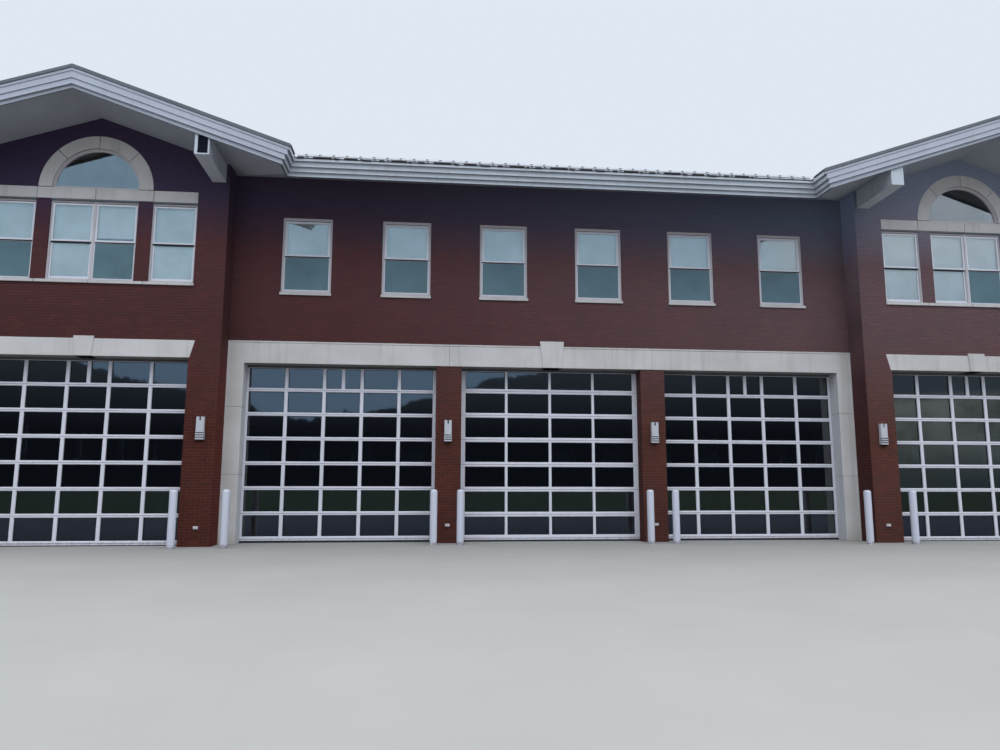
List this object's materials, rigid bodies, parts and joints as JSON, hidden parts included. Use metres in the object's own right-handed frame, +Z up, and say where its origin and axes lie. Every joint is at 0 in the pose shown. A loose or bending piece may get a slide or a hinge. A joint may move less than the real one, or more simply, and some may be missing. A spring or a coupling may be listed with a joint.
{
  "type": "fire station building",
  "caption": "Two-storey brick fire station with glazed vehicle doors in a stone surround, gabled wings with arched windows, deep stepped eaves and a hipped tile roof.",
  "frame": {"origin": "Middle of the plan's bounding box, on the ground.", "axes": "+X to the right as seen from the street, +Y from the street front to the back, +Z up. The building is symmetric about X = 0."},
  "size_m": [31.26, 22.25, 12.5871],
  "materials": {
    "brick": "dark red-brown face brick in running bond with pale grey mortar",
    "dressed_stone": "pale grey cast stone, matt, with rain streaks",
    "concrete": "trowelled concrete",
    "roof_tile": "dark grey roof tile, matt",
    "roof_boarding": "bare sheathing",
    "painted_fascia": "satin pale blue-grey paint",
    "painted_soffit": "satin grey paint",
    "window_white": "satin off-white",
    "door_white": "satin white paint, weathered",
    "clear_glass": "clear",
    "door_glass": "clear, dark hall behind",
    "seal_rubber": "matt black",
    "blind_fabric": "light blue-grey",
    "grey_metal": "light grey enamel",
    "bollard_white": "white enamel",
    "back_door_paint": "grey enamel"
  },
  "bodies": {
    "root": {"back_door_frame": "back_door_paint", "back_door_leaf": "back_door_paint", "back_eave_fascia": "painted_fascia", "back_roof_deck": "roof_boarding", "back_soffit": "painted_soffit", "back_wall": "brick", "bollards": "bollard_white", "centre_brick_piers": "brick", "centre_door_frames": "door_white", "centre_eave_fascia": "painted_fascia", "centre_front_wall": "brick", "centre_soffit": "painted_soffit", "centre_stone_jambs": "dressed_stone", "centre_stone_lintel": "dressed_stone", "centre_window_blinds": "blind_fabric", "door_bottom_seals": "seal_rubber", "door_glass": "door_glass", "front_roof_deck": "roof_boarding", "front_stone_sills": "dressed_stone", "front_window_frames": "window_white", "front_window_glass": "clear_glass", "gable_brackets": "painted_soffit", "gable_fascias": "painted_fascia", "gable_roof_decks": "roof_boarding", "gable_soffits": "painted_soffit", "ground_slab": "concrete", "left_side_wall": "brick", "left_wing_front_wall": "brick", "outlet_boxes": "grey_metal", "ridge_caps": "roof_tile", "right_side_wall": "brick", "right_wing_front_wall": "brick", "roof_tiles": "roof_tile", "side_and_back_frames": "window_white", "side_and_back_glass": "clear_glass", "side_and_back_sills": "dressed_stone", "side_eave_fascias": "painted_fascia", "side_roof_decks": "roof_boarding", "side_soffits": "painted_soffit", "upper_floor": "concrete", "wall_lights": "grey_metal", "wing_door_frames": "door_white", "wing_stone_arches": "dressed_stone", "wing_stone_bands": "dressed_stone", "wing_stone_lintels": "dressed_stone"}
  },
  "joints": []
}
